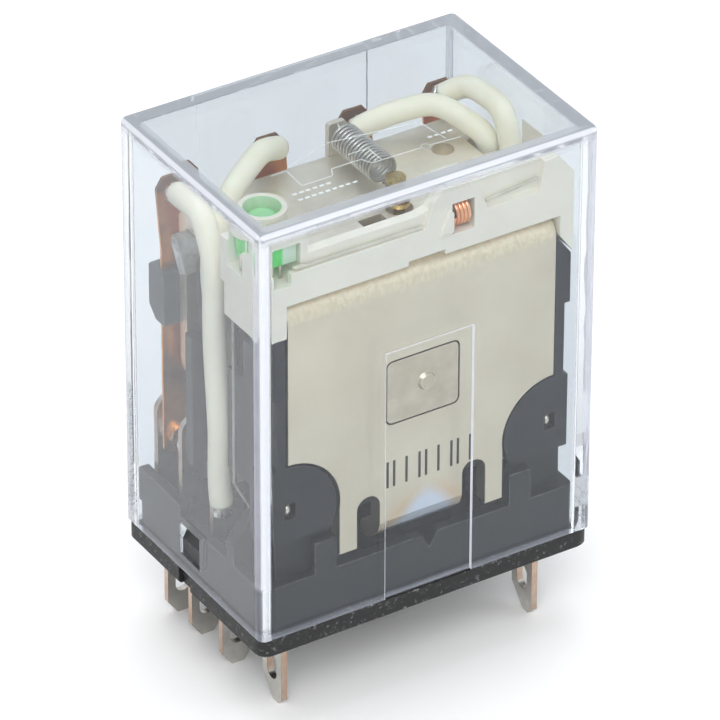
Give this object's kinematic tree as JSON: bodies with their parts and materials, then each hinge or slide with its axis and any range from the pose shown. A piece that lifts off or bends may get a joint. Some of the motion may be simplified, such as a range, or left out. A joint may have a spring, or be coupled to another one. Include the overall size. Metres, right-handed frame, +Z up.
{
  "type": "plug-in relay",
  "caption": "Square-bladed plug-in relay: clear case over a dark base, nickel-plated frame, hinged armature with changeover springs, sleeved leads and indicator lamp.",
  "frame": {"origin": "centre of the base's underside, the face that seats on the socket", "axes": "+Z up away from the socket, -Y towards the wide face with the nickel-plated yoke plate, +X to that face's right"},
  "size_m": [0.028, 0.019, 0.0419],
  "materials": {
    "case_clear": "clear moulded polycarbonate, polished",
    "base_plastic": "fine matt moulded thermoset",
    "bobbin_plastic": "satin moulded nylon",
    "yoke_nickel": "nickel-plated stamped steel, satin",
    "iron_nickel": "nickel-plated soft iron",
    "blade_tin": "tin-plated copper alloy, bare copper at the cut edges",
    "contact_silver": "silver alloy contact rivets with copper shanks",
    "spring_bronze": "bare copper alloy strip, lightly tarnished",
    "spring_steel": "plated spring wire",
    "anchor_brass": "turned brass",
    "lead_sleeve": "cream insulating sleeve",
    "copper_wire": "enamelled copper wire",
    "tape": "insulating tape",
    "holder_white": "white moulded plastic",
    "lamp_green": "tinted translucent epoxy",
    "tinned_wire": "tinned copper wire"
  },
  "bodies": {
    "frame": {"base": "base_plastic", "bobbin": "bobbin_plastic", "choke_coil": "copper_wire", "coil_tape": "tape", "coil_terminal_left": "blade_tin", "coil_terminal_right": "blade_tin", "coil_winding": "copper_wire", "coil_wire_left": "copper_wire", "coil_wire_right": "copper_wire", "com_terminal_1": "blade_tin", "com_terminal_2": "blade_tin", "com_terminal_3": "blade_tin", "com_terminal_4": "blade_tin", "core": "iron_nickel", "cover": "case_clear", "flex_lead_1": "lead_sleeve", "flex_lead_2": "lead_sleeve", "flex_lead_3": "lead_sleeve", "flex_lead_4": "lead_sleeve", "led_holder": "holder_white", "led_lamp": "lamp_green", "led_wire_front": "tinned_wire", "led_wire_left": "tinned_wire", "led_wire_right": "tinned_wire", "nc_contacts": "contact_silver", "nc_terminal_1": "blade_tin", "nc_terminal_2": "blade_tin", "nc_terminal_3": "blade_tin", "nc_terminal_4": "blade_tin", "no_contacts": "contact_silver", "no_terminal_1": "blade_tin", "no_terminal_2": "blade_tin", "no_terminal_3": "blade_tin", "no_terminal_4": "blade_tin", "return_spring": "spring_steel", "spring_anchor": "anchor_brass", "yoke": "yoke_nickel"},
    "armature": {"armature": "iron_nickel", "contact_card": "bobbin_plastic", "moving_contacts": "contact_silver", "moving_spring_1": "spring_bronze", "moving_spring_2": "spring_bronze", "moving_spring_3": "spring_bronze", "moving_spring_4": "spring_bronze"}
  },
  "joints": [
    {"name": "armature_hinge", "type": "hinge", "parent": "frame", "child": "armature", "pos_m": [0, 0.0041, 0.0282], "axis": [-1, 0, 0], "range_deg": [0, 2.5], "stiffness_Nm_per_rad": 0.02, "springref_deg": -8.59, "deforming": ["return_spring", "flex_lead_1", "flex_lead_2", "flex_lead_3", "flex_lead_4"]}
  ]
}
